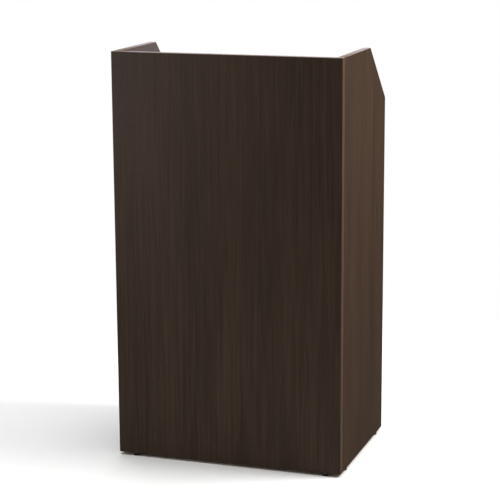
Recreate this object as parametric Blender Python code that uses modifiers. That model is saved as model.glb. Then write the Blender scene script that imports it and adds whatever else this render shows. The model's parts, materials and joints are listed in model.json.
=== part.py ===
"""Presentation lectern: a knock-down cabinet of 18 mm boards, open at the speaker's side.

Frame: metres, +Z up, origin on the floor under the middle of the cabinet. The audience stands at -Y and
sees the front panel; the speaker stands at +Y. Left and right are as the audience sees them: right is +X.
"""

import math

import bmesh
import bpy
from mathutils import Matrix, Vector

# Cabinet
WIDTH = 0.600
DEPTH = 0.412
HEIGHT = 1.055
BOARD = 0.018
BAND = 0.001
GAP = 0.0003
CUT_SPARE = 0.001
SHARP_ANGLE = math.radians(35)
FOOT_HEIGHT = 0.008
CROWN_DEPTH = 0.258
SHOULDER_DROP = 0.144

Y_FRONT = -DEPTH / 2
Y_INNER = Y_FRONT + BOARD
Y_BACK = DEPTH / 2
X_SIDE = WIDTH / 2
X_INNER = X_SIDE - BOARD
BAY_WIDTH = 2 * (X_INNER - GAP)

# Reading desk, which falls towards the speaker
DESK_SLOPE = math.radians(8)
DESK_REAR_TOP = 0.895
DESK_RUN = 0.3925
DESK_FRONT_GAP = 0.003
STOP_WIDTH = 0.012
STOP_REBATE = 0.010
STOP_RISE = 0.010
STOP_ROUNDING = 0.0025
STOP_ROUNDING_STEPS = 3

# Loose shelf on four pins, and the fixed base board
SHELF_DEPTH = 0.336
SHELF_END_GAP = 0.0021
SHELF_FRONT_GAP = 0.002
BASE_UNDERSIDE = 0.058
PIN_COLUMNS = {"fore": -0.130, "aft": 0.110}
PIN_ROWS = 5
PIN_PITCH = 0.032
PIN_MIDDLE_ROW = 0.480
PIN_HOLE_RADIUS = 0.0025
PIN_STEPS = 10
PIN_HOLE_DEPTH = 0.0105
PIN_PEG_RADIUS = 0.003
PIN_PEG_LENGTH = 0.0085
PIN_FLANGE_RADIUS = 0.0045
PIN_FLANGE = 0.0014

# Cam fittings: a turning cam disc in one board draws in the head of a bolt screwed into the other
CAM_REACH = 0.024
CAM_RADIUS = 0.0072
CAM_BORE_RADIUS = 0.0075
CAM_BACK = 0.0046
CAM_FACE = BOARD / 2 - GAP
CAM_STEPS = 16
GROOVE_INNER = 0.0022
GROOVE_OUTER = 0.00635
GROOVE_HALF_HEIGHT = 0.0035
SLOT_HALF_HEIGHT = 0.0023
SLOT_MARGIN = math.radians(22)
CAM_TURN = math.radians(180)
ENTRY_RADIUS = 0.0036
ENTRY_STEPS = 8
SLOT_STEPS = 8
CROSS_REACH = 0.0040
CROSS_HALF_WIDTH = 0.0008
CROSS_DEPTH = 0.0030
BOLT_HEAD_RADIUS = 0.0032
BOLT_HEAD_NEAR = 0.0026
BOLT_HEAD_FAR = 0.0051
BOLT_NECK_RADIUS = 0.0020
BOLT_NECK_FAR = 0.0090
BOLT_SHANK_RADIUS = 0.0034
BOLT_THREAD_RADIUS = 0.0022
BOLT_THREAD = 0.0110
BOLT_STEPS = 10
EDGE_BORE_RADIUS = 0.0038
THREAD_BORE_RADIUS = 0.0025
DESK_CAM_PLACES = {"fore": 0.085, "aft": 0.305}
BASE_CAM_PLACES = {"fore": -0.120, "aft": 0.130}
FRONT_CAM_HEIGHTS = {"low": 0.160, "high": 0.780}

# Levelling feet: a swivelling pad on a stem that screws into an insert in the board's lower edge
PAD_RADIUS = 0.008
PAD_STEPS = 20
PAD_HEIGHT = 0.0052
PAD_BEVEL = 0.0006
SOCKET_RADIUS = 0.0043
SOCKET_FLOOR = 0.0015
SOCKET_ROOF = 0.0039
PAD_MOUTH_RADIUS = 0.00295
STEM_HEAD_RADIUS = 0.0040
STEM_HEAD_BOTTOM = SOCKET_FLOOR + GAP
STEM_HEAD_TOP = SOCKET_ROOF - GAP
STEM_NECK_RADIUS = 0.0026
HEX_ACROSS_FLATS = 0.013
HEX_BOTTOM = PAD_HEIGHT + GAP
HEX_TOP = FOOT_HEIGHT - GAP
STEM_RADIUS = 0.0029
STEM_TOP = 0.0290
INSERT_RADIUS = 0.0050
INSERT_HOLE_RADIUS = 0.00325
INSERT_BOTTOM = FOOT_HEIGHT + GAP
INSERT_LENGTH = 0.014
INSERT_BORE_RADIUS = 0.0053
STEM_BORE_RADIUS = 0.0036
STEM_BORE_TOP = 0.0310
FOOT_FROM_CORNER = 0.043
SIDE_FOOT_FORE = 0.063
SIDE_FOOT_AFT = 0.050
FEET = {
    "front_left": (-X_SIDE + FOOT_FROM_CORNER, Y_FRONT + BOARD / 2),
    "front_right": (X_SIDE - FOOT_FROM_CORNER, Y_FRONT + BOARD / 2),
    "left_fore": (-X_SIDE + BOARD / 2, Y_FRONT + SIDE_FOOT_FORE),
    "left_aft": (-X_SIDE + BOARD / 2, Y_BACK - SIDE_FOOT_AFT),
    "right_fore": (X_SIDE - BOARD / 2, Y_FRONT + SIDE_FOOT_FORE),
    "right_aft": (X_SIDE - BOARD / 2, Y_BACK - SIDE_FOOT_AFT),
}

SIDES = {"left": -1, "right": 1}
UPRIGHT_ALONG_Y = Matrix.Rotation(math.radians(90), 4, "X")
UPRIGHT_ALONG_X = Matrix(((0, 0, 1, 0), (1, 0, 0, 0), (0, 1, 0, 0), (0, 0, 0, 1)))
POINT_ALONG_X = Matrix.Rotation(math.radians(90), 4, "Y")


# ---------------------------------------------------------------- scene and materials


def new_collection(name):
    collection = bpy.data.collections.new(name)
    bpy.context.scene.collection.children.link(collection)
    return collection


def new_material(name, colour, roughness, metallic=0.0):
    material = bpy.data.materials.new(name)
    material.use_nodes = True
    shader = material.node_tree.nodes["Principled BSDF"]
    shader.inputs["Base Color"].default_value = (*colour, 1.0)
    shader.inputs["Roughness"].default_value = roughness
    shader.inputs["Metallic"].default_value = metallic
    return material


for leftover in list(bpy.data.objects):
    bpy.data.objects.remove(leftover)
PARTS = new_collection("presentation_lectern")
CUTTERS = new_collection("cutters")
MATERIALS = {
    "board": new_material("dark_woodgrain_board", (0.035, 0.022, 0.016), 0.45),
    "band": new_material("edge_band", (0.045, 0.030, 0.022), 0.40),
    "nylon": new_material("black_nylon", (0.015, 0.015, 0.016), 0.55),
    "steel": new_material("zinc_plated_steel", (0.60, 0.59, 0.56), 0.35, 1.0),
    "cast": new_material("cast_zinc", (0.42, 0.41, 0.39), 0.50, 1.0),
}


# ---------------------------------------------------------------- shape helpers


def add_part(name, mesh, material, place=None, parent=None):
    """A visible piece: its mesh, its material, and its place in the parent's frame or in the world."""
    part = bpy.data.objects.new(name, mesh)
    if not mesh.materials:
        mesh.materials.append(MATERIALS[material])
    PARTS.objects.link(part)
    part.parent = parent
    part.matrix_basis = place or Matrix.Identity(4)
    return part


def add_cutter(name, mesh, place):
    cutter = bpy.data.objects.new(name, mesh)
    CUTTERS.objects.link(cutter)
    cutter.matrix_basis = place
    cutter.hide_render = True
    cutter.display_type = "WIRE"
    return cutter


def mesh_of(obj):
    """The object's evaluated mesh as a clean closed mesh; the object itself is removed."""
    bpy.context.view_layer.update()
    mesh = bpy.data.meshes.new_from_object(obj.evaluated_get(bpy.context.evaluated_depsgraph_get()))
    bpy.data.objects.remove(obj)
    shape = bmesh.new()
    shape.from_mesh(mesh)
    bmesh.ops.remove_doubles(shape, verts=shape.verts, dist=1e-6)
    bmesh.ops.recalc_face_normals(shape, faces=shape.faces)
    shape.to_mesh(mesh)
    shape.free()
    return mesh


def box_mesh(name, size):
    shape = bmesh.new()
    bmesh.ops.create_cube(shape, size=1.0)
    bmesh.ops.scale(shape, vec=Vector(size), verts=shape.verts)
    mesh = bpy.data.meshes.new(name)
    shape.to_mesh(mesh)
    shape.free()
    return mesh


def cylinder_mesh(name, radius, low, high, steps):
    """A cylinder about local Z from height low to height high."""
    shape = bmesh.new()
    middle = Matrix.Translation((0, 0, (low + high) / 2))
    bmesh.ops.create_cone(
        shape,
        cap_ends=True,
        segments=steps,
        radius1=radius,
        radius2=radius,
        depth=high - low,
        matrix=middle,
    )
    mesh = bpy.data.meshes.new(name)
    shape.to_mesh(mesh)
    shape.free()
    return mesh


def extruded_mesh(name, outline, thickness):
    """A flat outline in local XY, given thickness about local Z = 0."""
    curve = bpy.data.curves.new(name, "CURVE")
    curve.dimensions = "2D"
    curve.fill_mode = "BOTH"
    curve.extrude = thickness / 2
    spline = curve.splines.new("POLY")
    spline.points.add(len(outline) - 1)
    for point, (u, v) in zip(spline.points, outline):
        point.co = (u, v, 0, 1)
    spline.use_cyclic_u = True
    holder = bpy.data.objects.new(name, curve)
    CUTTERS.objects.link(holder)
    return mesh_of(holder)


def turned_mesh(name, profile, steps, ring=False):
    """A solid of revolution about local Z from (radius, height) points; ring closes the profile on itself."""
    lines = [(i, i + 1) for i in range(len(profile) - 1)]
    if ring:
        lines.append((len(profile) - 1, 0))
    mesh = bpy.data.meshes.new(name)
    mesh.from_pydata([(radius, 0, height) for radius, height in profile], lines, [])
    holder = bpy.data.objects.new(name, mesh)
    CUTTERS.objects.link(holder)
    screw = holder.modifiers.new("turn", "SCREW")
    screw.steps = steps
    screw.render_steps = steps
    screw.use_merge_vertices = True
    screw.merge_threshold = 1e-6
    return mesh_of(holder)


def boolean(part, operation, other):
    modifier = part.modifiers.new(other.name, "BOOLEAN")
    modifier.operation = operation
    modifier.object = other


def bore(board, name, radius, steps, place, low, high):
    """Drills board with a hole about the local Z of place, from low to high."""
    cutter = add_cutter(f"{name}_bore", cylinder_mesh(name, radius, low, high, steps), place)
    boolean(board, "DIFFERENCE", cutter)


def inset(path, distance):
    """The open path moved by distance to the right of its direction, with its corners kept."""
    moved = []
    for i, point in enumerate(path):
        before = (Vector(path[i]) - Vector(path[i - 1])).normalized() if i else None
        after = (Vector(path[i + 1]) - Vector(point)).normalized() if i + 1 < len(path) else None
        normals = [Vector((d.y, -d.x)) for d in (before, after) if d is not None]
        bisector = sum(normals, Vector((0, 0))).normalized()
        moved.append(tuple(Vector(point) + bisector * (distance / bisector.dot(normals[0]))))
    return moved


def smooth_round_faces(part):
    part.data.shade_smooth()
    part.data.set_sharp_from_angle(angle=SHARP_ANGLE)


# ---------------------------------------------------------------- boards and their edge bands


def front_panel():
    """The full-width panel that the audience sees, with a band round its two sides and its top."""
    rim = [(-X_SIDE, FOOT_HEIGHT), (-X_SIDE, HEIGHT), (X_SIDE, HEIGHT), (X_SIDE, FOOT_HEIGHT)]
    upright = Matrix.Translation((0, Y_FRONT + BOARD / 2, 0)) @ UPRIGHT_ALONG_Y
    panel_mesh = extruded_mesh("front_panel", inset(rim, BAND + GAP), BOARD)
    panel = add_part("front_panel", panel_mesh, "board", upright)
    band_mesh = extruded_mesh("front_band", rim + inset(rim, BAND)[::-1], BOARD)
    add_part("front_panel_edge_band", band_mesh, "band", upright)
    return panel


def side_rim():
    """The side panel's banded edges in (y, z): level crown, slanted shoulder and back edge."""
    crown_end = Y_FRONT + CROWN_DEPTH
    shoulder_end = HEIGHT - SHOULDER_DROP
    return [
        (Y_INNER + GAP, HEIGHT),
        (crown_end, HEIGHT),
        (Y_BACK, shoulder_end),
        (Y_BACK, FOOT_HEIGHT),
    ]


def side_panel(side):
    rim = side_rim()
    upright = Matrix.Translation((SIDES[side] * (X_SIDE - BOARD / 2), 0, 0)) @ UPRIGHT_ALONG_X
    front_bottom = [(Y_INNER + GAP, FOOT_HEIGHT)]
    panel_mesh = extruded_mesh("side_panel", inset(rim, BAND + GAP) + front_bottom, BOARD)
    panel = add_part(f"{side}_side_panel", panel_mesh, "board", upright)
    band_mesh = extruded_mesh("side_band", rim + inset(rim, BAND)[::-1], BOARD)
    add_part(f"{side}_side_edge_band", band_mesh, "band", upright)
    into_panel = Matrix.Rotation(SIDES[side] * math.radians(90), 4, "Y")
    for column, y in PIN_COLUMNS.items():
        for row in range(PIN_ROWS):
            z = PIN_MIDDLE_ROW + (row - PIN_ROWS // 2) * PIN_PITCH
            place = Matrix.Translation((SIDES[side] * X_INNER, y, z)) @ into_panel
            name = f"{side}_{column}_{row}_pin"
            bore(panel, name, PIN_HOLE_RADIUS, PIN_STEPS, place, -CUT_SPARE, PIN_HOLE_DEPTH)
    return panel


def desk_frame():
    """The desk's own frame: on its top face at the front edge, with +Y running down the slope."""
    rise = DESK_RUN * math.sin(DESK_SLOPE)
    frame = bpy.data.objects.new("desk_frame", None)
    PARTS.objects.link(frame)
    frame.location = (0, Y_INNER + DESK_FRONT_GAP, DESK_REAR_TOP + rise)
    frame.rotation_euler = (-DESK_SLOPE, 0, 0)
    bpy.context.view_layer.update()
    return frame


def reading_desk(frame):
    """The sloping board, rebated along its low edge for the strip that stops papers from sliding off."""
    run = DESK_RUN - BAND - GAP
    rebate = DESK_RUN - STOP_WIDTH - GAP
    profile = [
        (0, 0),
        (rebate, 0),
        (rebate, -STOP_REBATE - GAP),
        (run, -STOP_REBATE - GAP),
        (run, -BOARD),
        (0, -BOARD),
    ]
    desk = add_part(
        "reading_desk",
        extruded_mesh("reading_desk", profile, BAY_WIDTH),
        "board",
        UPRIGHT_ALONG_X,
        frame,
    )
    tongue = BOARD - STOP_REBATE - GAP
    place = Matrix.Translation((0, DESK_RUN - BAND / 2, -BOARD + tongue / 2))
    add_part("desk_edge_band", box_mesh("desk_band", (BAY_WIDTH, BAND, tongue)), "band", place, frame)
    height = STOP_REBATE + STOP_RISE
    place = Matrix.Translation((0, DESK_RUN - STOP_WIDTH / 2, STOP_RISE - height / 2))
    stop_mesh = box_mesh("paper_stop", (BAY_WIDTH, STOP_WIDTH, height))
    stop = add_part("paper_stop", stop_mesh, "board", place, frame)
    round_upper_edges(stop, height / 2)
    return desk


def round_upper_edges(strip, top):
    """Rounds the two long upper edges of a strip that runs along X."""
    shape = bmesh.new()
    shape.from_mesh(strip.data)
    long_edges = [
        edge
        for edge in shape.edges
        if all(abs(v.co.z - top) < 1e-6 for v in edge.verts)
        and abs(edge.verts[0].co.y - edge.verts[1].co.y) < 1e-6
    ]
    bmesh.ops.bevel(
        shape,
        geom=long_edges,
        offset=STOP_ROUNDING,
        segments=STOP_ROUNDING_STEPS,
        profile=0.5,
        affect="EDGES",
    )
    shape.to_mesh(strip.data)
    shape.free()


def base_board():
    run = Y_BACK - BAND - GAP - (Y_INNER + GAP)
    middle = (Y_INNER + Y_BACK - BAND) / 2
    height = BASE_UNDERSIDE + BOARD / 2
    place = Matrix.Translation((0, middle, height))
    board = add_part("base_board", box_mesh("base_board", (BAY_WIDTH, run, BOARD)), "board", place)
    place = Matrix.Translation((0, Y_BACK - BAND / 2, height))
    add_part("base_edge_band", box_mesh("base_band", (BAY_WIDTH, BAND, BOARD)), "band", place)
    return board


def shelf():
    """The loose shelf, lying on its pins with its banded edge towards the speaker."""
    width = 2 * (X_INNER - SHELF_END_GAP)
    front = Y_INNER + SHELF_FRONT_GAP
    height = PIN_MIDDLE_ROW + PIN_PEG_RADIUS + GAP + BOARD / 2
    run = SHELF_DEPTH - BAND - GAP
    place = Matrix.Translation((0, front + run / 2, height))
    add_part("shelf", box_mesh("shelf", (width, run, BOARD)), "board", place)
    place = Matrix.Translation((0, front + SHELF_DEPTH - BAND / 2, height))
    add_part("shelf_edge_band", box_mesh("shelf_band", (width, BAND, BOARD)), "band", place)


def shelf_pins():
    """Four push-in pins, each with a flange against the side panel and a peg under the shelf."""
    profile = [
        (0, PIN_PEG_LENGTH),
        (PIN_PEG_RADIUS, PIN_PEG_LENGTH),
        (PIN_PEG_RADIUS, PIN_FLANGE + GAP),
        (PIN_FLANGE_RADIUS, PIN_FLANGE + GAP),
        (PIN_FLANGE_RADIUS, GAP),
        (PIN_HOLE_RADIUS - GAP, GAP),
        (PIN_HOLE_RADIUS - GAP, GAP - PIN_HOLE_DEPTH + CUT_SPARE),
        (0, GAP - PIN_HOLE_DEPTH + CUT_SPARE),
    ]
    mesh = turned_mesh("shelf_pin", profile, PIN_STEPS)
    for side, sign in SIDES.items():
        for column, y in PIN_COLUMNS.items():
            place = Matrix.Translation((sign * X_INNER, y, PIN_MIDDLE_ROW))
            place = place @ Matrix.Rotation(-sign * math.radians(90), 4, "Y")
            smooth_round_faces(add_part(f"shelf_pin_{side}_{column}", mesh, "steel", place))


# ---------------------------------------------------------------- cam fittings


def arc(radius, start, end, steps):
    angles = [start + (end - start) * i / steps for i in range(steps + 1)]
    return [(radius * math.cos(a), radius * math.sin(a)) for a in angles]


def cam_mesh():
    """The cam disc about local Z, locked with the bolt at +X. Its slot lets the bolt's neck pass through
    CAM_TURN, the groove behind it holds the bolt's head, and at the slot's far end the head can leave."""
    at_origin = Matrix.Identity(4)
    cam = add_part("cam_pattern", cylinder_mesh("cam", CAM_RADIUS, -CAM_BACK, CAM_FACE, CAM_STEPS), "cast")
    groove = [
        (GROOVE_OUTER, GROOVE_HALF_HEIGHT),
        (GROOVE_OUTER, -GROOVE_HALF_HEIGHT),
        (GROOVE_INNER, -GROOVE_HALF_HEIGHT),
        (GROOVE_INNER, GROOVE_HALF_HEIGHT),
    ]
    groove_mesh = turned_mesh("groove", groove, CAM_STEPS, ring=True)
    boolean(cam, "DIFFERENCE", add_cutter("cam_groove", groove_mesh, at_origin))
    first, last = SLOT_MARGIN, -CAM_TURN - SLOT_MARGIN
    outer_side = arc(CAM_RADIUS + CUT_SPARE, first, last, SLOT_STEPS)
    inner_side = arc(GROOVE_OUTER - CUT_SPARE, last, first, SLOT_STEPS)
    slot_mesh = extruded_mesh("slot", outer_side + inner_side, 2 * SLOT_HALF_HEIGHT)
    boolean(cam, "DIFFERENCE", add_cutter("cam_slot", slot_mesh, at_origin))
    entry_ends = -CAM_RADIUS - CUT_SPARE, -GROOVE_INNER - CUT_SPARE
    entry = cylinder_mesh("entry", ENTRY_RADIUS, *entry_ends, ENTRY_STEPS)
    boolean(cam, "DIFFERENCE", add_cutter("cam_entry", entry, POINT_ALONG_X))
    a, b = CROSS_REACH, CROSS_HALF_WIDTH
    quarter = [(a, -b), (a, b), (b, b)]
    cross = [Matrix.Rotation(math.radians(90 * q), 2) @ Vector(p) for q in range(4) for p in quarter]
    cross_mesh = extruded_mesh("cross", cross, 2 * CROSS_DEPTH)
    boolean(cam, "DIFFERENCE", add_cutter("cam_cross", cross_mesh, Matrix.Translation((0, 0, CAM_FACE))))
    return mesh_of(cam)


def bolt_mesh():
    """The bolt along local Z, measured from the cam's axis: head, neck, shank and the thread's envelope."""
    profile = [
        (0, CAM_REACH + BOLT_THREAD),
        (BOLT_THREAD_RADIUS, CAM_REACH + BOLT_THREAD),
        (BOLT_THREAD_RADIUS, CAM_REACH - GAP),
        (BOLT_SHANK_RADIUS, CAM_REACH - GAP),
        (BOLT_SHANK_RADIUS, BOLT_NECK_FAR),
        (BOLT_NECK_RADIUS, BOLT_NECK_FAR),
        (BOLT_NECK_RADIUS, BOLT_HEAD_FAR),
        (BOLT_HEAD_RADIUS, BOLT_HEAD_FAR),
        (BOLT_HEAD_RADIUS, BOLT_HEAD_NEAR),
        (0, BOLT_HEAD_NEAR),
    ]
    return turned_mesh("cam_bolt", profile, BOLT_STEPS)


def fitting(label, frame, board, receiver, cam, bolt):
    """One cam and bolt with their bores. In frame, +X runs along the bolt from board to receiver, and +Z
    looks out of the face of board that the cam is set into."""
    along = frame @ POINT_ALONG_X
    bore(board, f"{label}_cam", CAM_BORE_RADIUS, CAM_STEPS, frame, -CAM_BACK - GAP, BOARD / 2 + CUT_SPARE)
    bore(board, f"{label}_edge", EDGE_BORE_RADIUS, BOLT_STEPS, along, 0, CAM_REACH + CUT_SPARE)
    bore(
        receiver,
        f"{label}_thread",
        THREAD_BORE_RADIUS,
        BOLT_STEPS,
        along,
        CAM_REACH - CUT_SPARE,
        CAM_REACH + BOLT_THREAD + GAP,
    )
    smooth_round_faces(add_part(f"cam_{label}", cam, "cast", frame))
    smooth_round_faces(add_part(f"bolt_{label}", bolt, "steel", along))


def axes_at(point, along, out):
    """The matrix with its origin at point, +X along the bolt and +Z out of the board's face."""
    x, z = Vector(along), Vector(out)
    y = z.cross(x)
    turn = Matrix((x, y, z)).transposed().to_4x4()
    return Matrix.Translation(point) @ turn


def all_fittings(front, sides, desk, base, slope):
    cam, bolt = cam_mesh(), bolt_mesh()
    for side, sign in SIDES.items():
        towards_side, inwards = (sign, 0, 0), (-sign, 0, 0)
        x = sign * (X_INNER - CAM_REACH)
        for place, run in DESK_CAM_PLACES.items():
            frame = slope @ axes_at((x, run, -BOARD / 2), towards_side, (0, 0, -1))
            fitting(f"desk_{side}_{place}", frame, desk, sides[side], cam, bolt)
        for place, y in BASE_CAM_PLACES.items():
            frame = axes_at((x, y, BASE_UNDERSIDE + BOARD / 2), towards_side, (0, 0, -1))
            fitting(f"base_{side}_{place}", frame, base, sides[side], cam, bolt)
        for place, z in FRONT_CAM_HEIGHTS.items():
            point = (sign * (X_SIDE - BOARD / 2), Y_INNER + CAM_REACH, z)
            frame = axes_at(point, (0, -1, 0), inwards)
            fitting(f"front_{side}_{place}", frame, sides[side], front, cam, bolt)


# ---------------------------------------------------------------- levelling feet


def pad_mesh():
    """The nylon pad: a cup whose lip holds the stem's head, so that it stays still as the stem turns."""
    profile = [
        (0, SOCKET_FLOOR),
        (SOCKET_RADIUS, SOCKET_FLOOR),
        (SOCKET_RADIUS, SOCKET_ROOF),
        (PAD_MOUTH_RADIUS, SOCKET_ROOF),
        (PAD_MOUTH_RADIUS, PAD_HEIGHT),
        (PAD_RADIUS, PAD_HEIGHT),
        (PAD_RADIUS, PAD_BEVEL),
        (PAD_RADIUS - PAD_BEVEL, 0),
        (0, 0),
    ]
    return turned_mesh("foot_pad", profile, PAD_STEPS)


def stem_mesh():
    """The steel stem: head in the pad, neck, hexagon for a spanner, and the thread's envelope."""
    profile = [
        (0, STEM_TOP),
        (STEM_RADIUS, STEM_TOP),
        (STEM_RADIUS, (HEX_BOTTOM + HEX_TOP) / 2),
        (STEM_NECK_RADIUS, (HEX_BOTTOM + HEX_TOP) / 2),
        (STEM_NECK_RADIUS, STEM_HEAD_TOP),
        (STEM_HEAD_RADIUS, STEM_HEAD_TOP),
        (STEM_HEAD_RADIUS, STEM_HEAD_BOTTOM),
        (0, STEM_HEAD_BOTTOM),
    ]
    stem = add_part("stem_pattern", turned_mesh("foot_stem", profile, BOLT_STEPS), "steel")
    corner_radius = HEX_ACROSS_FLATS / 2 / math.cos(math.radians(30))
    hexagon = cylinder_mesh("hexagon", corner_radius, HEX_BOTTOM, HEX_TOP, 6)
    boolean(stem, "UNION", add_cutter("stem_hexagon", hexagon, Matrix.Identity(4)))
    return mesh_of(stem)


def insert_mesh():
    top = INSERT_BOTTOM + INSERT_LENGTH
    profile = [
        (INSERT_RADIUS, top),
        (INSERT_RADIUS, INSERT_BOTTOM),
        (INSERT_HOLE_RADIUS, INSERT_BOTTOM),
        (INSERT_HOLE_RADIUS, top),
    ]
    return turned_mesh("foot_insert", profile, BOLT_STEPS, ring=True)


def all_feet(boards):
    pad, stem, insert = pad_mesh(), stem_mesh(), insert_mesh()
    for name, (x, y) in FEET.items():
        board = boards[name.split("_")[0]]
        place = Matrix.Translation((x, y, 0))
        insert_top = INSERT_BOTTOM + INSERT_LENGTH + GAP
        below = FOOT_HEIGHT - CUT_SPARE
        bore(board, f"foot_{name}_insert", INSERT_BORE_RADIUS, BOLT_STEPS, place, below, insert_top)
        bore(board, f"foot_{name}_stem", STEM_BORE_RADIUS, BOLT_STEPS, place, below, STEM_BORE_TOP)
        smooth_round_faces(add_part(f"foot_{name}_pad", pad, "nylon", place))
        smooth_round_faces(add_part(f"foot_{name}_stem", stem, "steel", place))
        smooth_round_faces(add_part(f"foot_{name}_insert", insert, "steel", place))


def main():
    front = front_panel()
    sides = {side: side_panel(side) for side in SIDES}
    frame = desk_frame()
    desk = reading_desk(frame)
    base = base_board()
    shelf()
    shelf_pins()
    all_fittings(front, sides, desk, base, frame.matrix_world.copy())
    all_feet({"front": front, **sides})


main()
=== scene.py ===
"""The presentation lectern's looks: dark woodgrain boards, satin edge bands, zinc fittings and nylon glides.

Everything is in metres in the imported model's frame: +Z up, the audience at -Y, the speaker at +Y.
"""

import json
import math

import bmesh
import bpy
from mathutils import Matrix, Vector


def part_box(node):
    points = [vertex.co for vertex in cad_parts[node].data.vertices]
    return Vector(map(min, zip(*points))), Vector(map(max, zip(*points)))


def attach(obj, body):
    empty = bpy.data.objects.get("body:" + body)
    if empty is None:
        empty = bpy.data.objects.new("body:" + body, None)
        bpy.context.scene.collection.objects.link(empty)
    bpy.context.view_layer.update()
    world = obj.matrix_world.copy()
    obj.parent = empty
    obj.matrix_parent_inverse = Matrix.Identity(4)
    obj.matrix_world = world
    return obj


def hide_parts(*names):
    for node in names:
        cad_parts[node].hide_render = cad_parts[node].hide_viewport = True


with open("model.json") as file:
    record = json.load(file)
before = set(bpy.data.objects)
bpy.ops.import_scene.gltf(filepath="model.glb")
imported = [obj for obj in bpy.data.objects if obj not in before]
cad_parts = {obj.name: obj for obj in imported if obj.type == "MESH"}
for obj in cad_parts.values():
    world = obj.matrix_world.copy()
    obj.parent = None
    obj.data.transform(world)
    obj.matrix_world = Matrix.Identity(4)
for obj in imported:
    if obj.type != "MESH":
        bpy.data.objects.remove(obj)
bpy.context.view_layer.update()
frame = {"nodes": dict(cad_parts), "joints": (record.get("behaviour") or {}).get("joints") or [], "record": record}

NODES = frame["nodes"]
BODY_OF = {node: body for body, nodes in frame["record"]["behaviour"]["bodies"].items() for node in nodes}
JOINT_OF = {joint["child"]: joint for joint in frame["joints"]}

# Sizes that the fine pieces share with the CAD solids they stand for
BOARD = 0.018
GAP = 0.0003
FOOT_HEIGHT = 0.008
CAM_RADIUS = 0.0072
CAM_BACK = 0.0046
CAM_FACE = BOARD / 2 - GAP
CAM_REACH = 0.024
GROOVE_INNER = 0.0022
GROOVE_OUTER = 0.00635
GROOVE_HALF_HEIGHT = 0.0035
SLOT_HALF_HEIGHT = 0.0023
SLOT_START = math.radians(22)
SLOT_END = math.radians(-202)
ENTRY_RADIUS = 0.0036
CROSS_REACH = 0.0040
CROSS_HALF_WIDTH = 0.0008
CROSS_DEPTH = 0.0030
BOLT_HEAD_RADIUS = 0.0032
BOLT_HEAD_NEAR = 0.0026
BOLT_HEAD_FAR = 0.0051
BOLT_NECK_RADIUS = 0.0020
BOLT_NECK_FAR = 0.0088
BOLT_COLLAR_RADIUS = 0.0034
BOLT_END = CAM_REACH + 0.011
PIN_PEG_RADIUS = 0.003
PIN_PEG_END = 0.0085
PIN_FLANGE_RADIUS = 0.0045
PIN_FLANGE_TOP = 0.0017
PIN_SPIGOT_RADIUS = 0.0022
PIN_SPIGOT_END = -0.0092
PAD_RADIUS = 0.008
PAD_HEIGHT = 0.0052
SOCKET_RADIUS = 0.0043
SOCKET_FLOOR = 0.0015
SOCKET_ROOF = 0.0039
MOUTH_RADIUS = 0.00295
STEM_HEAD_RADIUS = 0.0040
STEM_HEAD_BOTTOM = 0.0018
STEM_HEAD_TOP = 0.0036
STEM_NECK_RADIUS = 0.0026
STEM_RADIUS = 0.0029
STEM_TOP = 0.0290
HEX_RADIUS = 0.0075
HEX_BOTTOM = 0.0055
HEX_TOP = 0.0077
INSERT_LENGTH = 0.014
INSERT_RADIUS = 0.0050
INSERT_BORE_RADIUS = 0.00325

# Fine detail that only the looks have
BAND_ROUNDING = 0.0005
CAM_RIM = 0.0004
CAM_DISH = 0.0003
CAM_LIP = (0.0009, 0.0011)
CROSS_TAPER = 0.8
POINTER = ((0.0058, 0), (0.0047, 0.0007), (0.0047, -0.0007))
POINTER_DEPTH = 0.0007
CUT_SPARE = 0.0005
BOLT_HEAD_ROUNDING = 0.0006
BOLT_CHAMFER = 0.0003
BOLT_THREAD_RADIUS = 0.0024
BOLT_PITCH = 0.0016
PIN_TIP_ROUNDING = 0.0008
PIN_FLANGE_ROUNDING = 0.0004
PIN_RIBS = 8
PIN_RIB_START = 0.0012
PIN_RIB_PITCH = 0.0010
PIN_RIB_DEPTH = 0.0002
PAD_FOOT_ROUNDING = 0.0007
PAD_TOP_ROUNDING = 0.0005
PAD_RECESS = 0.0003
PAD_RECESS_RADII = (0.0045, 0.0048)
MOUTH_FLARE = 0.00035
STEM_HEAD_ROUNDING = 0.0003
STEM_HEAD_CHAMFER = 0.0004
HEX_CHAMFER = 0.0004
STEM_PITCH = 0.001
KNURLS = 24
KNURL_DEPTH = 0.0003
BORE_THREAD_DEPTH = 0.0003
MERGE_DISTANCE = 1e-6
SHARP_ANGLE = math.radians(32)
CORNER_STEPS = 4
DISC_STEPS = 64
SMOOTH_STEPS = 48
SMALL_STEPS = 32
THREAD_STEPS = 24

CAMERA_AT = (1.4066, -4.1602, 1.4892)
CAMERA_YAW, CAMERA_PITCH, CAMERA_ROLL = 18.763, 12.391, 0.321
CAMERA_LENS = 123.85
FLOOR_RADIUS = 1.5


# ---------------------------------------------------------------- mesh helpers


def finished(name, shape):
    """The bmesh as a mesh with its normals outwards, smooth on round faces and sharp at corners."""
    bmesh.ops.remove_doubles(shape, verts=shape.verts, dist=MERGE_DISTANCE)
    bmesh.ops.recalc_face_normals(shape, faces=shape.faces)
    mesh = bpy.data.meshes.new(name)
    shape.to_mesh(mesh)
    shape.free()
    mesh.shade_smooth()
    mesh.set_sharp_from_angle(angle=SHARP_ANGLE)
    return mesh


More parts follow.
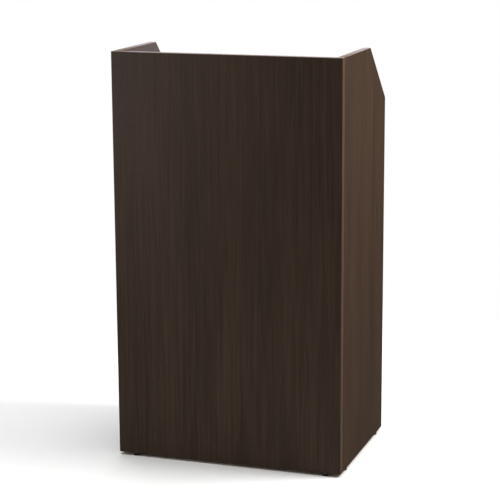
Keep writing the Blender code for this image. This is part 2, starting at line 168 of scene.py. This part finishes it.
def add_turned(shape, profile, steps, ring=False):
    """Adds a solid of revolution about Z from (radius, height) points; ring closes the profile on itself."""
    angles = [2 * math.pi * i / steps for i in range(steps)]
    loops = []
    for radius, height in profile:
        if radius < 1e-7:
            loops.append([shape.verts.new((0, 0, height))] * steps)
        else:
            around = [(radius * math.cos(a), radius * math.sin(a), height) for a in angles]
            loops.append([shape.verts.new(point) for point in around])
    pairs = zip(loops, loops[1:] + loops[:1]) if ring else zip(loops, loops[1:])
    for one, other in pairs:
        for i in range(steps):
            corners = [one[i], one[(i + 1) % steps], other[(i + 1) % steps], other[i]]
            shape.faces.new(list(dict.fromkeys(corners)))


def turned(name, profile, steps, ring=False):
    shape = bmesh.new()
    add_turned(shape, profile, steps, ring)
    return finished(name, shape)


def add_thread(shape, major, pitch, low, high):
    """Adds a screw thread about Z with its flanks, crests and roots, and a chamfer at each end."""
    minor = major - 0.61 * pitch
    profile = ((0.0, minor), (0.25, minor), (0.5625, major), (0.6875, major))
    rows = []
    for turn in range(-1, math.ceil((high - low) / pitch) + 1):
        for share, radius in profile:
            row = []
            for step in range(THREAD_STEPS + 1):
                around = step / THREAD_STEPS
                height = min(max(low + (turn + share + around) * pitch, low), high)
                r = min(radius, minor + min(height - low, high - height))
                angle = 2 * math.pi * around
                row.append(shape.verts.new((r * math.cos(angle), r * math.sin(angle), height)))
            rows.append(row)
    for lower, upper in zip(rows, rows[1:]):
        for i in range(THREAD_STEPS):
            shape.faces.new((lower[i], lower[i + 1], upper[i + 1], upper[i]))
    bmesh.ops.remove_doubles(shape, verts=[v for row in rows for v in row], dist=MERGE_DISTANCE)
    open_edges = [edge for edge in shape.edges if edge.is_boundary]
    bmesh.ops.holes_fill(shape, edges=open_edges, sides=0)


def rounded(corner, first, last):
    """Points of the round corner that starts at first, ends at last and cuts off the sharp corner."""
    sharp, a, b = Vector(corner), Vector(first), Vector(last)
    centre = a + b - sharp
    turn = [i * math.pi / 2 / CORNER_STEPS for i in range(CORNER_STEPS + 1)]
    return [tuple(centre + (a - centre) * math.cos(t) + (b - centre) * math.sin(t)) for t in turn]


def prism(outline, low, high, taper=1.0):
    """A flat outline as a closed solid from height low to high; taper scales its low end."""
    shape = bmesh.new()
    top = [shape.verts.new((x, y, high)) for x, y in outline]
    bottom = [shape.verts.new((x * taper, y * taper, low)) for x, y in outline]
    shape.faces.new(top)
    shape.faces.new(bottom[::-1])
    count = len(outline)
    for i in range(count):
        shape.faces.new((top[i], bottom[i], bottom[(i + 1) % count], top[(i + 1) % count]))
    return finished("prism", shape)


def arc(radius, start, end, steps):
    angles = [start + (end - start) * i / steps for i in range(steps + 1)]
    return [(radius * math.cos(a), radius * math.sin(a)) for a in angles]


def cut(mesh, *cutters):
    """The mesh with the cutters' shapes taken out of it."""
    work = bpy.data.objects.new("work", mesh)
    bpy.context.scene.collection.objects.link(work)
    tools = []
    for cutter in cutters:
        tool = bpy.data.objects.new("tool", cutter)
        bpy.context.scene.collection.objects.link(tool)
        modifier = work.modifiers.new("cut", "BOOLEAN")
        modifier.operation = "DIFFERENCE"
        modifier.object = tool
        tools.append(tool)
    bpy.context.view_layer.update()
    result = bpy.data.meshes.new_from_object(work.evaluated_get(bpy.context.evaluated_depsgraph_get()))
    for spare in [work, *tools]:
        bpy.data.objects.remove(spare)
    shape = bmesh.new()
    shape.from_mesh(result)
    bpy.data.meshes.remove(result)
    return finished(mesh.name, shape)


def show(name, mesh, place, node, material):
    """Shows mesh in place of a CAD node, riding on the node's body."""
    piece = bpy.data.objects.new(name, mesh)
    bpy.context.scene.collection.objects.link(piece)
    piece.matrix_world = place
    if not mesh.materials:
        mesh.materials.append(material)
    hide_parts(node)
    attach(piece, BODY_OF[node])


def middle(node):
    low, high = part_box(node)
    return (low + high) / 2


def axes_at(point, x_axis, z_axis):
    z = Vector(z_axis).normalized()
    x = Vector(x_axis)
    x = (x - z * x.dot(z)).normalized()
    return Matrix.Translation(point) @ Matrix((x, z.cross(x), z)).transposed().to_4x4()


# ---------------------------------------------------------------- material helpers


class Look:
    """A Principled material, with short calls for the nodes that feed it."""

    def __init__(self, name, colour, roughness, metallic=0.0, **settings):
        self.material = bpy.data.materials.new(name)
        self.material.use_nodes = True
        self.tree = self.material.node_tree
        self.shader = self.tree.nodes["Principled BSDF"]
        self.set(self.shader, {"Base Color": (*colour, 1), "Roughness": roughness, "Metallic": metallic})
        self.set(self.shader, settings)

    def set(self, node, inputs):
        for key, value in inputs.items():
            socket = node.inputs[key]
            if isinstance(value, bpy.types.NodeSocket):
                self.tree.links.new(value, socket)
            else:
                socket.default_value = value

    def add(self, kind, inputs=None, **settings):
        node = self.tree.nodes.new(kind)
        for key, value in settings.items():
            setattr(node, key, value)
        self.set(node, inputs or {})
        return node

    def feed(self, **sockets):
        self.set(self.shader, {key.replace("_", " "): value for key, value in sockets.items()})

    def place(self, scale=(1, 1, 1), vector=None):
        """The object's own coordinates, in metres, scaled axis by axis."""
        source = vector or self.add("ShaderNodeTexCoord").outputs["Object"]
        return self.add("ShaderNodeMapping", {"Vector": source, "Scale": scale}).outputs["Vector"]

    def noise(self, vector, scale, detail=2.0, roughness=0.5, colour=False):
        inputs = {"Vector": vector, "Scale": scale, "Detail": detail, "Roughness": roughness}
        return self.add("ShaderNodeTexNoise", inputs).outputs["Color" if colour else "Fac"]

    def remap(self, value, low, high, to_low=0.0, to_high=1.0):
        inputs = {"Value": value, "From Min": low, "From Max": high, "To Min": to_low, "To Max": to_high}
        return self.add("ShaderNodeMapRange", inputs).outputs["Result"]

    def math(self, operation, one, other=0.0):
        return self.add("ShaderNodeMath", {0: one, 1: other}, operation=operation).outputs["Value"]

    def ramp(self, factor, stops):
        """A colour ramp; stops are (position, colour)."""
        node = self.add("ShaderNodeValToRGB", {"Fac": factor})
        elements = node.color_ramp.elements
        while len(elements) < len(stops):
            elements.new(0.5)
        for element, (position, colour) in zip(elements, stops):
            element.position = position
            element.color = (*colour, 1)
        return node.outputs["Color"]

    def mix(self, factor, one, other):
        node = self.add("ShaderNodeMix", data_type="RGBA")
        self.tree.links.new(factor, node.inputs["Factor"])
        for socket, value in ((node.inputs[6], one), (node.inputs[7], other)):
            if isinstance(value, bpy.types.NodeSocket):
                self.tree.links.new(value, socket)
            else:
                socket.default_value = (*value, 1)
        return node.outputs[2]

    def blend(self, factor, one, other):
        """A number that goes from one to other as factor goes from 0 to 1."""
        node = self.add("ShaderNodeMix", data_type="FLOAT")
        for socket, value in ((node.inputs[0], factor), (node.inputs[2], one), (node.inputs[3], other)):
            if isinstance(value, bpy.types.NodeSocket):
                self.tree.links.new(value, socket)
            else:
                socket.default_value = value
        return node.outputs[0]

    def bump(self, height, strength, distance):
        inputs = {"Height": height, "Strength": strength, "Distance": distance}
        return self.add("ShaderNodeBump", inputs).outputs["Normal"]


def times(colour, factor):
    return tuple(c * factor for c in colour)


# ---------------------------------------------------------------- materials

ESPRESSO = (0.050, 0.0270, 0.0150)
BAND_BROWN = (0.092, 0.0530, 0.0340)
GRAIN_SWAY = 0.006
GRAIN_BUMP = (0.30, 0.00008)
BOARD_SPECULAR = 0.35
CHIP_PALE = (0.42, 0.27, 0.15)
CHIP_DARK = (0.16, 0.085, 0.040)
AXIS = {"x": Vector((1, 0, 0)), "y": Vector((0, 1, 0)), "z": Vector((0, 0, 1))}


def along(grain, stretch):
    """Coordinate scales that draw a pattern out by stretch along the grain."""
    return tuple(1 / stretch if axis == grain else 1.0 for axis in "xyz")


def woodgrain(look, grain, base):
    """Printed wenge grain: fine dark pores, straight streaks a few millimetres apart and broad tone changes.
    Returns its colour, roughness and the height of its pressed texture."""
    source = look.add("ShaderNodeTexCoord").outputs["Object"]
    sway = look.noise(look.place(along(grain, 6), source), 9.0, 2.0, 0.5, colour=True)
    centred = look.add("ShaderNodeVectorMath", {0: sway, 1: (0.5, 0.5, 0.5)}, operation="SUBTRACT").outputs[0]
    moved = {0: centred, 1: (GRAIN_SWAY,) * 3, 2: source}
    swayed = look.add("ShaderNodeVectorMath", moved, operation="MULTIPLY_ADD").outputs[0]
    broad = look.noise(look.place(along(grain, 9), swayed), 16.0, 3.0, 0.55)
    streak = look.noise(look.place(along(grain, 55), swayed), 230.0, 4.0, 0.62)
    pores = look.noise(look.place(along(grain, 28), swayed), 1300.0, 2.0, 0.5)
    tone = look.math("ADD", look.math("MULTIPLY", broad, 0.35), look.math("MULTIPLY", streak, 0.65))
    wood = look.ramp(tone, ((0.36, times(base, 0.70)), (0.50, base), (0.64, times(base, 1.32))))
    pore = look.remap(pores, 0.58, 0.72)
    colour = look.mix(look.math("MULTIPLY", pore, 0.45), wood, times(base, 0.45))
    shine = look.remap(streak, 0.3, 0.7, 0.40, 0.50)
    roughness = look.math("ADD", shine, look.math("MULTIPLY", pore, 0.16))
    height = look.math("SUBTRACT", look.math("MULTIPLY", streak, 0.4), pore)
    return colour, roughness, height


def chips(look):
    """Raw particle board, as its sawn and drilled faces show it: its colour and the height of its grit."""
    source = look.add("ShaderNodeTexCoord").outputs["Object"]
    cells = look.add("ShaderNodeTexVoronoi", {"Vector": source, "Scale": 620.0, "Randomness": 1.0})
    flakes = look.math("MULTIPLY", cells.outputs["Distance"], 0.7)
    grit = look.math("MULTIPLY", look.noise(source, 1500.0, 3.0, 0.6), 0.5)
    shade = look.math("ADD", flakes, grit)
    return look.ramp(shade, ((0.2, CHIP_DARK), (0.75, CHIP_PALE))), shade


def board_material(name, grain, face):
    """A melamine-faced board: woodgrain on its two broad faces, across face, and raw core everywhere else."""
    look = Look(name, ESPRESSO, 0.45)
    colour, roughness, height = woodgrain(look, grain, ESPRESSO)
    chip_colour, chip_height = chips(look)
    normal = look.add("ShaderNodeTexCoord").outputs["Normal"]
    facing = look.add("ShaderNodeVectorMath", {0: normal, 1: face}, operation="DOT_PRODUCT").outputs["Value"]
    raw = look.math("LESS_THAN", look.math("ABSOLUTE", facing), 0.9)
    smooth = look.bump(height, *GRAIN_BUMP)
    rough = look.bump(chip_height, 0.6, 0.0002)
    normals = look.add("ShaderNodeMix", data_type="VECTOR")
    look.tree.links.new(raw, normals.inputs[0])
    look.tree.links.new(smooth, normals.inputs[4])
    look.tree.links.new(rough, normals.inputs[5])
    look.feed(
        Base_Color=look.mix(raw, colour, chip_colour),
        Roughness=look.blend(raw, roughness, 0.9),
        Normal=normals.outputs[1],
        Specular_IOR_Level=BOARD_SPECULAR,
    )
    return look.material


def solid_wood_material(name, grain):
    """The paper stop, wrapped in the same woodgrain on every side."""
    look = Look(name, ESPRESSO, 0.45)
    colour, roughness, height = woodgrain(look, grain, ESPRESSO)
    look.feed(Base_Color=colour, Roughness=roughness, Normal=look.bump(height, *GRAIN_BUMP))
    look.feed(Specular_IOR_Level=BOARD_SPECULAR)
    return look.material


def worn_edges(look, radius, patch_scale):
    """A mask of the corners, broken up into patches, where light rubbing shows."""
    soft = look.add("ShaderNodeBevel", {"Radius": radius}, samples=4).outputs["Normal"]
    true = look.add("ShaderNodeNewGeometry").outputs["Normal"]
    turn = look.add("ShaderNodeVectorMath", {0: soft, 1: true}, operation="DOT_PRODUCT").outputs["Value"]
    corner = look.remap(turn, 0.995, 0.90)
    patches = look.remap(look.noise(look.place(), patch_scale, 3.0, 0.6), 0.42, 0.62)
    return look.math("MULTIPLY", corner, patches)


def band_material(name, grain):
    """Edge banding: a plain satin strip, a little paler than the boards and rubbed at its corners."""
    look = Look(name, BAND_BROWN, 0.34)
    source = look.place(along(grain, 40))
    streak = look.noise(source, 420.0, 3.0, 0.6)
    colour = look.ramp(streak, ((0.32, times(BAND_BROWN, 0.82)), (0.68, times(BAND_BROWN, 1.18))))
    wear = worn_edges(look, 0.0009, 60.0)
    colour = look.mix(look.math("MULTIPLY", wear, 0.35), colour, times(BAND_BROWN, 2.2))
    look.feed(
        Base_Color=colour,
        Roughness=look.remap(streak, 0.3, 0.7, 0.29, 0.37),
        Normal=look.bump(streak, 0.12, 0.00005),
    )
    return look.material


def nylon_material():
    """Black moulded nylon: finely sparked skin, greyer where the floor has scuffed it."""
    look = Look("black_nylon", (0.030, 0.029, 0.029), 0.5)
    grain = look.noise(look.place(), 3500.0, 2.0, 0.6)
    patches = look.noise(look.place(), 420.0, 3.0, 0.65)
    source = look.add("ShaderNodeTexCoord").outputs["Object"]
    low = look.add("ShaderNodeSeparateXYZ", {0: source}).outputs["Z"]
    skin = look.ramp(patches, ((0.3, (0.024,) * 3), (0.7, (0.040, 0.039, 0.038))))
    sheen = look.remap(patches, 0.3, 0.7, 0.42, 0.55)
    scuff = look.math("MULTIPLY", look.remap(low, 0.0012, 0.0), look.remap(patches, 0.45, 0.65))
    look.feed(
        Base_Color=look.mix(scuff, skin, (0.11,) * 3),
        Roughness=look.math("ADD", sheen, look.math("MULTIPLY", scuff, 0.3)),
        Normal=look.bump(grain, 0.25, 0.00004),
    )
    return look.material


def steel_material():
    """Bright zinc plate: faint yellow and blue clouds and fine turning marks round the shank."""
    look = Look("zinc_plated_steel", (0.62, 0.61, 0.58), 0.3, metallic=1.0)
    clouds = look.noise(look.place(), 260.0, 3.0, 0.6)
    marks = look.noise(look.place((1, 1, 30)), 260.0, 2.0, 0.5)
    tints = ((0.3, (0.66, 0.62, 0.54)), (0.5, (0.62, 0.61, 0.59)), (0.7, (0.56, 0.59, 0.62)))
    look.feed(
        Base_Color=look.ramp(clouds, tints),
        Roughness=look.remap(marks, 0.3, 0.7, 0.22, 0.38),
        Normal=look.bump(marks, 0.15, 0.00003),
    )
    return look.material


def cast_material():
    """Die-cast zinc: grey, with a grainy tumbled skin in darker and paler random patches."""
    look = Look("cast_zinc", (0.42, 0.41, 0.40), 0.45, metallic=1.0)
    grain = look.noise(look.place(), 2600.0, 3.0, 0.65)
    stains = look.noise(look.place(), 330.0, 3.0, 0.6)
    look.feed(
        Base_Color=look.ramp(stains, ((0.3, (0.30, 0.29, 0.28)), (0.7, (0.50, 0.49, 0.47)))),
        Roughness=look.remap(grain, 0.3, 0.7, 0.36, 0.56),
        Normal=look.bump(grain, 0.3, 0.00006),
    )
    return look.material


# ---------------------------------------------------------------- boards and bands

DESK_NORMAL = Vector(next(m["axis"] for m in frame["record"]["mounts"] if m["name"] == "reading_surface"))
BOARDS = {
    "front_panel": ("z", AXIS["y"]),
    "left_side_panel": ("z", AXIS["x"]),
    "right_side_panel": ("z", AXIS["x"]),
    "reading_desk": ("x", DESK_NORMAL),
    "shelf": ("x", AXIS["z"]),
    "base_board": ("x", AXIS["z"]),
}
BANDED = {
    "front_panel_edge_band": ("front_panel", "z"),
    "left_side_edge_band": ("left_side_panel", "z"),
    "right_side_edge_band": ("right_side_panel", "z"),
    "desk_edge_band": ("reading_desk", "x"),
    "shelf_edge_band": ("shelf", "x"),
    "base_edge_band": ("base_board", "x"),
}


def dress_boards():
    for node, (grain, face) in BOARDS.items():
        NODES[node].data.materials.clear()
        NODES[node].data.materials.append(board_material(f"woodgrain_{node}", grain, face))
    NODES["paper_stop"].data.materials.clear()
    NODES["paper_stop"].data.materials.append(solid_wood_material("woodgrain_stop", "x"))


def softened_band(node, board):
    """The band's mesh with its outer corners rounded. A face looks out if it faces away from the board."""
    shape = bmesh.new()
    shape.from_mesh(NODES[node].data)
    bmesh.ops.remove_doubles(shape, verts=shape.verts, dist=MERGE_DISTANCE)
    everything = {"verts": shape.verts, "edges": shape.edges, "use_dissolve_boundaries": False}
    bmesh.ops.dissolve_limit(shape, angle_limit=math.radians(0.5), **everything)
    centre = middle(board)
    clearly_out = 0.02

    def outward(face):
        return face.normal.dot(face.calc_center_median() - centre)

    corners = []
    for edge in shape.edges:
        if len(edge.link_faces) == 2 and edge.calc_face_angle(0) > math.radians(30):
            least, most = sorted(outward(face) for face in edge.link_faces)
            if most > clearly_out and least > -clearly_out:
                corners.append(edge)
    bmesh.ops.bevel(shape, geom=corners, offset=BAND_ROUNDING, segments=3, profile=0.5, affect="EDGES")
    return finished(f"{node}_softened", shape)


def dress_bands():
    for node, (board, grain) in BANDED.items():
        mesh = softened_band(node, board)
        show(f"{node}_strip", mesh, Matrix.Identity(4), node, band_material(f"banding_{node}", grain))


# ---------------------------------------------------------------- cam fittings


def cam_mesh():
    """The cam disc: chamfered rim, dished face with a cross recess and a pointer, and inside it the groove,
    the slot and the way in for the bolt's head. Z looks out of the board and +X points at the bolt."""
    return cut(cam_disc(), cam_groove(), cam_slot(), cam_entry(), cam_cross(), cam_pointer())


def cam_disc():
    lip_outer, lip_inner = CAM_LIP
    profile = [
        (0, CAM_FACE - CAM_DISH),
        (CAM_RADIUS - lip_inner, CAM_FACE - CAM_DISH),
        (CAM_RADIUS - lip_outer, CAM_FACE),
        (CAM_RADIUS - CAM_RIM, CAM_FACE),
        (CAM_RADIUS, CAM_FACE - CAM_RIM),
        (CAM_RADIUS, CAM_RIM - CAM_BACK),
        (CAM_RADIUS - CAM_RIM, -CAM_BACK),
        (0, -CAM_BACK),
    ]
    return turned("cam_disc", profile, DISC_STEPS)


def cam_groove():
    half = GROOVE_HALF_HEIGHT
    profile = [(GROOVE_OUTER, half), (GROOVE_OUTER, -half), (GROOVE_INNER, -half), (GROOVE_INNER, half)]
    return turned("groove", profile, DISC_STEPS, ring=True)


def cam_slot():
    spare = 2 * CUT_SPARE
    outer_side = arc(CAM_RADIUS + spare, SLOT_START, SLOT_END, 24)
    inner_side = arc(GROOVE_OUTER - spare, SLOT_END, SLOT_START, 24)
    return prism(outer_side + inner_side, -SLOT_HALF_HEIGHT, SLOT_HALF_HEIGHT)


def cam_entry():
    """The hole at the slot's far end, where the bolt's head comes in, from the groove out through the rim."""
    near, far = GROOVE_INNER + 0.0009, CAM_RADIUS + 2 * CUT_SPARE
    entry = turned("entry", [(0, -near), (ENTRY_RADIUS, -near), (ENTRY_RADIUS, -far), (0, -far)], SMALL_STEPS)
    entry.transform(Matrix.Rotation(math.radians(90), 4, "Y"))
    return entry


def cam_cross():
    long, narrow = CROSS_REACH, CROSS_HALF_WIDTH
    quarter = [(long, -narrow), (long, narrow), (narrow, narrow)]
    turns = [Matrix.Rotation(math.radians(90 * q), 2) for q in range(4)]
    cross = [tuple(turn @ Vector(point)) for turn in turns for point in quarter]
    return prism(cross, CAM_FACE - CROSS_DEPTH, CAM_FACE + CUT_SPARE, taper=CROSS_TAPER)


def cam_pointer():
    return prism(POINTER, CAM_FACE - POINTER_DEPTH, CAM_FACE + CUT_SPARE)


def bolt_mesh():
    """The bolt along Z from the cam's axis: rounded head, neck, collar and a thread with a chamfered end."""
    near, radius = BOLT_HEAD_NEAR, BOLT_HEAD_RADIUS
    head = rounded((radius, near), (radius - BOLT_HEAD_ROUNDING, near), (radius, near + BOLT_HEAD_ROUNDING))
    collar_end = CAM_REACH - GAP
    profile = [
        (0, near),
        *head,
        (radius, BOLT_HEAD_FAR),
        (BOLT_NECK_RADIUS, BOLT_HEAD_FAR + BOLT_CHAMFER),
        (BOLT_NECK_RADIUS, BOLT_NECK_FAR),
        (BOLT_COLLAR_RADIUS, BOLT_NECK_FAR + 0.0004),
        (BOLT_COLLAR_RADIUS, collar_end - 0.0004),
        (BOLT_COLLAR_RADIUS - BOLT_CHAMFER, collar_end),
        (0, collar_end),
    ]
    shape = bmesh.new()
    add_turned(shape, profile, SMALL_STEPS)
    add_thread(shape, BOLT_THREAD_RADIUS, BOLT_PITCH, collar_end - GAP, BOLT_END)
    return finished("cam_bolt", shape)


def dress_fittings():
    cast, steel = cast_material(), steel_material()
    cam, bolt = cam_mesh(), bolt_mesh()
    for label in sorted(node[4:] for node in NODES if node.startswith("cam_")):
        joint = JOINT_OF[BODY_OF[f"cam_{label}"]]
        at = Vector(joint["pos_m"])
        to_bolt = middle(f"bolt_{label}") - at
        place = axes_at(at, to_bolt, joint["axis"])
        show(f"cam_{label}_casting", cam, place, f"cam_{label}", cast)
        show(f"bolt_{label}_threaded", bolt, axes_at(at, joint["axis"], to_bolt), f"bolt_{label}", steel)
    return steel


# ---------------------------------------------------------------- shelf pins


def pin_mesh():
    """A push-in shelf pin along Z from the panel's face: ribbed spigot, flange and rounded peg."""
    peg, flange, top, end = PIN_PEG_RADIUS, PIN_FLANGE_RADIUS, PIN_FLANGE_TOP, PIN_PEG_END
    tip = rounded((peg, end), (peg - PIN_TIP_ROUNDING, end), (peg, end - PIN_TIP_ROUNDING))
    collar = rounded((flange, top), (flange - PIN_FLANGE_ROUNDING, top), (flange, top - PIN_FLANGE_ROUNDING))
    spigot = PIN_SPIGOT_RADIUS
    ribs = [(spigot - PIN_RIB_DEPTH * (i % 2), -PIN_RIB_START - PIN_RIB_PITCH * i) for i in range(PIN_RIBS)]
    profile = [(0, end), *tip, (peg, top), *collar, (flange, GAP), (spigot, GAP), *ribs]
    profile += [(spigot - 3 * PIN_RIB_DEPTH, PIN_SPIGOT_END), (0, PIN_SPIGOT_END)]
    return turned("shelf_pin", profile, SMALL_STEPS)


def dress_pins(steel):
    pin = pin_mesh()
    inner_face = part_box("right_side_panel")[0].x
    for node in sorted(name for name in NODES if name.startswith("shelf_pin_")):
        at = middle(node)
        sign = math.copysign(1, at.x)
        place = axes_at(Vector((sign * inner_face, at.y, at.z)), (0, 0, 1), (-sign, 0, 0))
        show(f"{node}_turned", pin, place, node, steel)


# ---------------------------------------------------------------- levelling feet


def pad_mesh():
    """The nylon glide: rounded rims, a shallow moulded recess underneath and a socket with a lip on top."""
    radius, height, low, high = PAD_RADIUS, PAD_HEIGHT, PAD_FOOT_ROUNDING, PAD_TOP_ROUNDING
    recess_inner, recess_outer = PAD_RECESS_RADII
    profile = [
        (0, PAD_RECESS),
        (recess_inner, PAD_RECESS),
        (recess_outer, 0),
        *rounded((radius, 0), (radius - low, 0), (radius, low)),
        *rounded((radius, height), (radius, height - high), (radius - high, height)),
        (MOUTH_RADIUS + MOUTH_FLARE, height),
        (MOUTH_RADIUS, height - MOUTH_FLARE),
        (MOUTH_RADIUS, SOCKET_ROOF),
        (SOCKET_RADIUS, SOCKET_ROOF),
        (SOCKET_RADIUS, SOCKET_FLOOR),
        (0, SOCKET_FLOOR),
    ]
    return turned("glide", profile, SMOOTH_STEPS)


def stem_mesh():
    """The steel stem: head held in the pad, neck, chamfered hexagon and metric thread."""
    radius, low, high = STEM_HEAD_RADIUS, STEM_HEAD_BOTTOM, STEM_HEAD_TOP
    rounding, chamfer = STEM_HEAD_ROUNDING, STEM_HEAD_CHAMFER
    hex_middle = (HEX_BOTTOM + HEX_TOP) / 2
    profile = [
        (0, low),
        *rounded((radius, low), (radius - chamfer, low), (radius, low + chamfer)),
        *rounded((radius, high), (radius, high - rounding), (radius - rounding, high)),
        (STEM_NECK_RADIUS, high),
        (STEM_NECK_RADIUS, hex_middle),
        (0, hex_middle),
    ]
    hexagon = [
        (0, HEX_BOTTOM),
        (HEX_RADIUS - HEX_CHAMFER, HEX_BOTTOM),
        (HEX_RADIUS, HEX_BOTTOM + HEX_CHAMFER),
        (HEX_RADIUS, HEX_TOP - HEX_CHAMFER),
        (HEX_RADIUS - HEX_CHAMFER, HEX_TOP),
        (0, HEX_TOP),
    ]
    shape = bmesh.new()
    add_turned(shape, profile, SMALL_STEPS)
    add_turned(shape, hexagon, 6)
    add_thread(shape, STEM_RADIUS, STEM_PITCH, HEX_TOP - GAP, STEM_TOP)
    return finished("stem", shape)


def insert_mesh():
    """The insert in the board's lower edge: a knurled barrel whose bore has a thread's grooves."""
    low, high = FOOT_HEIGHT + GAP, FOOT_HEIGHT + GAP + INSERT_LENGTH
    lead = 0.0004
    steps = 4 * KNURLS
    angles = [2 * math.pi * i / steps for i in range(steps)]
    root = INSERT_RADIUS - KNURL_DEPTH
    plain = [root] * steps
    knurled = [root if i % 4 > 1 else INSERT_RADIUS for i in range(steps)]
    rows = [(low, plain), (low + lead, knurled), (high - lead, knurled), (high, plain)]
    half_turns = 2 * round(INSERT_LENGTH / STEM_PITCH)
    for i in range(half_turns + 1):
        radius = INSERT_BORE_RADIUS + BORE_THREAD_DEPTH * (i % 2)
        rows.append((high - i * INSERT_LENGTH / half_turns, [radius] * steps))
    shape = bmesh.new()
    wall = []
    for height, radii in rows:
        around = [(r * math.cos(a), r * math.sin(a), height) for r, a in zip(radii, angles)]
        wall.append([shape.verts.new(point) for point in around])
    for one, other in zip(wall, wall[1:] + wall[:1]):
        for i in range(steps):
            j = (i + 1) % steps
            shape.faces.new((one[i], one[j], other[j], other[i]))
    return finished("insert", shape)


def dress_feet(steel):
    nylon = nylon_material()
    pad, stem, insert = pad_mesh(), stem_mesh(), insert_mesh()
    for foot in sorted(node[:-4] for node in NODES if node.endswith("_pad")):
        at = middle(f"{foot}_pad")
        place = Matrix.Translation((at.x, at.y, 0))
        show(f"{foot}_glide", pad, place, f"{foot}_pad", nylon)
        show(f"{foot}_stem_threaded", stem, place, f"{foot}_stem", steel)
        show(f"{foot}_insert_knurled", insert, place, f"{foot}_insert", steel)


# ---------------------------------------------------------------- studio


def soft_light(name, at, target, size, power, colour=(1, 1, 1)):
    """A rectangular softbox that looks from at to target. The camera doesn't see it."""
    data = bpy.data.lights.new(name, "AREA")
    data.shape = "RECTANGLE"
    data.size, data.size_y = size
    data.energy = power
    data.color = colour
    light = bpy.data.objects.new(name, data)
    bpy.context.scene.collection.objects.link(light)
    light.location = at
    light.rotation_euler = (Vector(target) - Vector(at)).to_track_quat("-Z", "Y").to_euler()
    light.visible_camera = False


def background():
    """Pure white where the camera looks past the lectern, and a dim room everywhere else."""
    world = bpy.data.worlds.new("studio")
    bpy.context.scene.world = world
    world.use_nodes = True
    tree = world.node_tree
    lit = tree.nodes["Background"]
    lit.inputs["Color"].default_value = (1, 1, 1, 1)
    lit.inputs["Strength"].default_value = 0.06
    seen = tree.nodes.new("ShaderNodeBackground")
    seen.inputs["Color"].default_value = (1, 1, 1, 1)
    path = tree.nodes.new("ShaderNodeLightPath")
    mix = tree.nodes.new("ShaderNodeMixShader")
    tree.links.new(path.outputs["Is Camera Ray"], mix.inputs["Fac"])
    tree.links.new(lit.outputs["Background"], mix.inputs[1])
    tree.links.new(seen.outputs["Background"], mix.inputs[2])
    tree.links.new(mix.outputs["Shader"], tree.nodes["World Output"].inputs["Surface"])


def lights():
    soft_light("overhead", (-0.2, 0.2, 3.0), (-0.2, 0.2, 0), (3.0, 3.0), 122)
    soft_light("key_right", (2.2, 0.3, 2.4), (0.3, 0, 0.9), (1.0, 1.0), 98)
    soft_light("fill_left", (-1.3, -1.7, 1.0), (-0.3, -0.2, 0.5), (0.7, 1.6), 8.4)
    soft_light("backdrop_glow", (-0.28, 1.0, 1.02), (-0.28, 0, 1.02), (1.05, 0.85), 4.0, (0.84, 0.87, 1.0))


def pale_floor():
    """A pale disc for the shadow to fall on. It is kept out of reflections, which it would flood."""
    data = bpy.data.meshes.new("floor")
    shape = bmesh.new()
    bmesh.ops.create_circle(shape, cap_ends=True, segments=96, radius=FLOOR_RADIUS)
    shape.to_mesh(data)
    shape.free()
    floor = bpy.data.objects.new("floor", data)
    bpy.context.scene.collection.objects.link(floor)
    look = Look("pale_floor", (0.86, 0.86, 0.85), 0.6)
    tone = look.noise(look.place(), 1.5, 2.0)
    look.feed(Base_Color=look.ramp(tone, ((0.3, (0.84, 0.84, 0.83)), (0.7, (0.88, 0.88, 0.87)))))
    data.materials.append(look.material)
    floor.visible_glossy = False


def camera():
    data = bpy.data.cameras.new("camera")
    data.sensor_width = 36
    data.lens = CAMERA_LENS
    view = bpy.data.objects.new("camera", data)
    bpy.context.scene.collection.objects.link(view)
    turn = Matrix.Rotation(math.radians(CAMERA_YAW), 4, "Z")
    tilt = Matrix.Rotation(math.radians(90 - CAMERA_PITCH), 4, "X")
    lean = Matrix.Rotation(math.radians(-CAMERA_ROLL), 4, "Z")
    view.matrix_world = Matrix.Translation(CAMERA_AT) @ turn @ tilt @ lean
    bpy.context.scene.camera = view
    bpy.context.scene.view_settings.view_transform = "Standard"


camera()
background()
lights()
pale_floor()
dress_boards()
dress_bands()
plated = dress_fittings()
dress_pins(plated)
dress_feet(plated)
